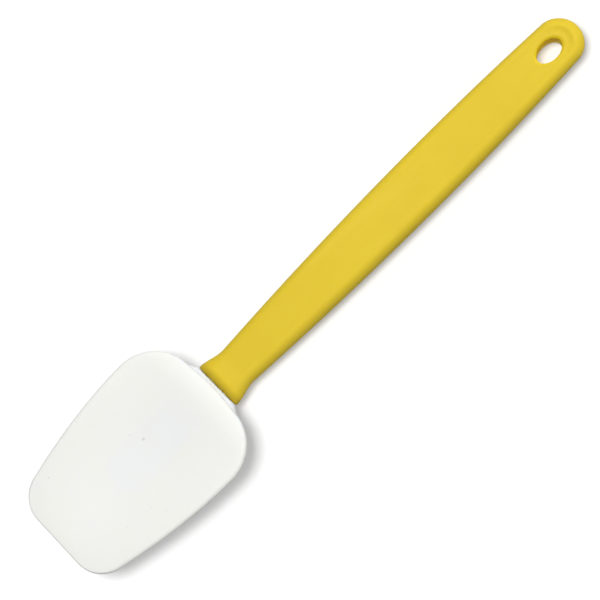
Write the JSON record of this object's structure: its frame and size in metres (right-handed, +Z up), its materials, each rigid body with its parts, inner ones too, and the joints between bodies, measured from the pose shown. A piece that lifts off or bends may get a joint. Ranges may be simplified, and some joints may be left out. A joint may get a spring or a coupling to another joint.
{
  "type": "silicone spoon",
  "caption": "Spoon spatula: a shallow dished silicone head that pulls off a flat steel core, and a waisted moulded plastic handle with an oval hanging hole.",
  "frame": {"origin": "on the surface that the spoon lies on, under the middle of its bounding box", "axes": "+X along the length towards the tip of the head, +Z up out of the dish, +Y across"},
  "size_m": [0.275, 0.0618, 0.013],
  "materials": {
    "handle_plastic": "satin moulded plastic, warm yellow",
    "core_steel": "brushed stainless strip",
    "head_silicone": "matt white silicone, slightly translucent"
  },
  "bodies": {
    "handle": {"handle": "handle_plastic", "steel_core": "core_steel"},
    "head": {"silicone_head": "head_silicone"}
  },
  "joints": [
    {"name": "head_pull", "type": "slide", "parent": "handle", "child": "head", "axis": [1, 0, 0], "range_m": [0, 0.06]}
  ]
}
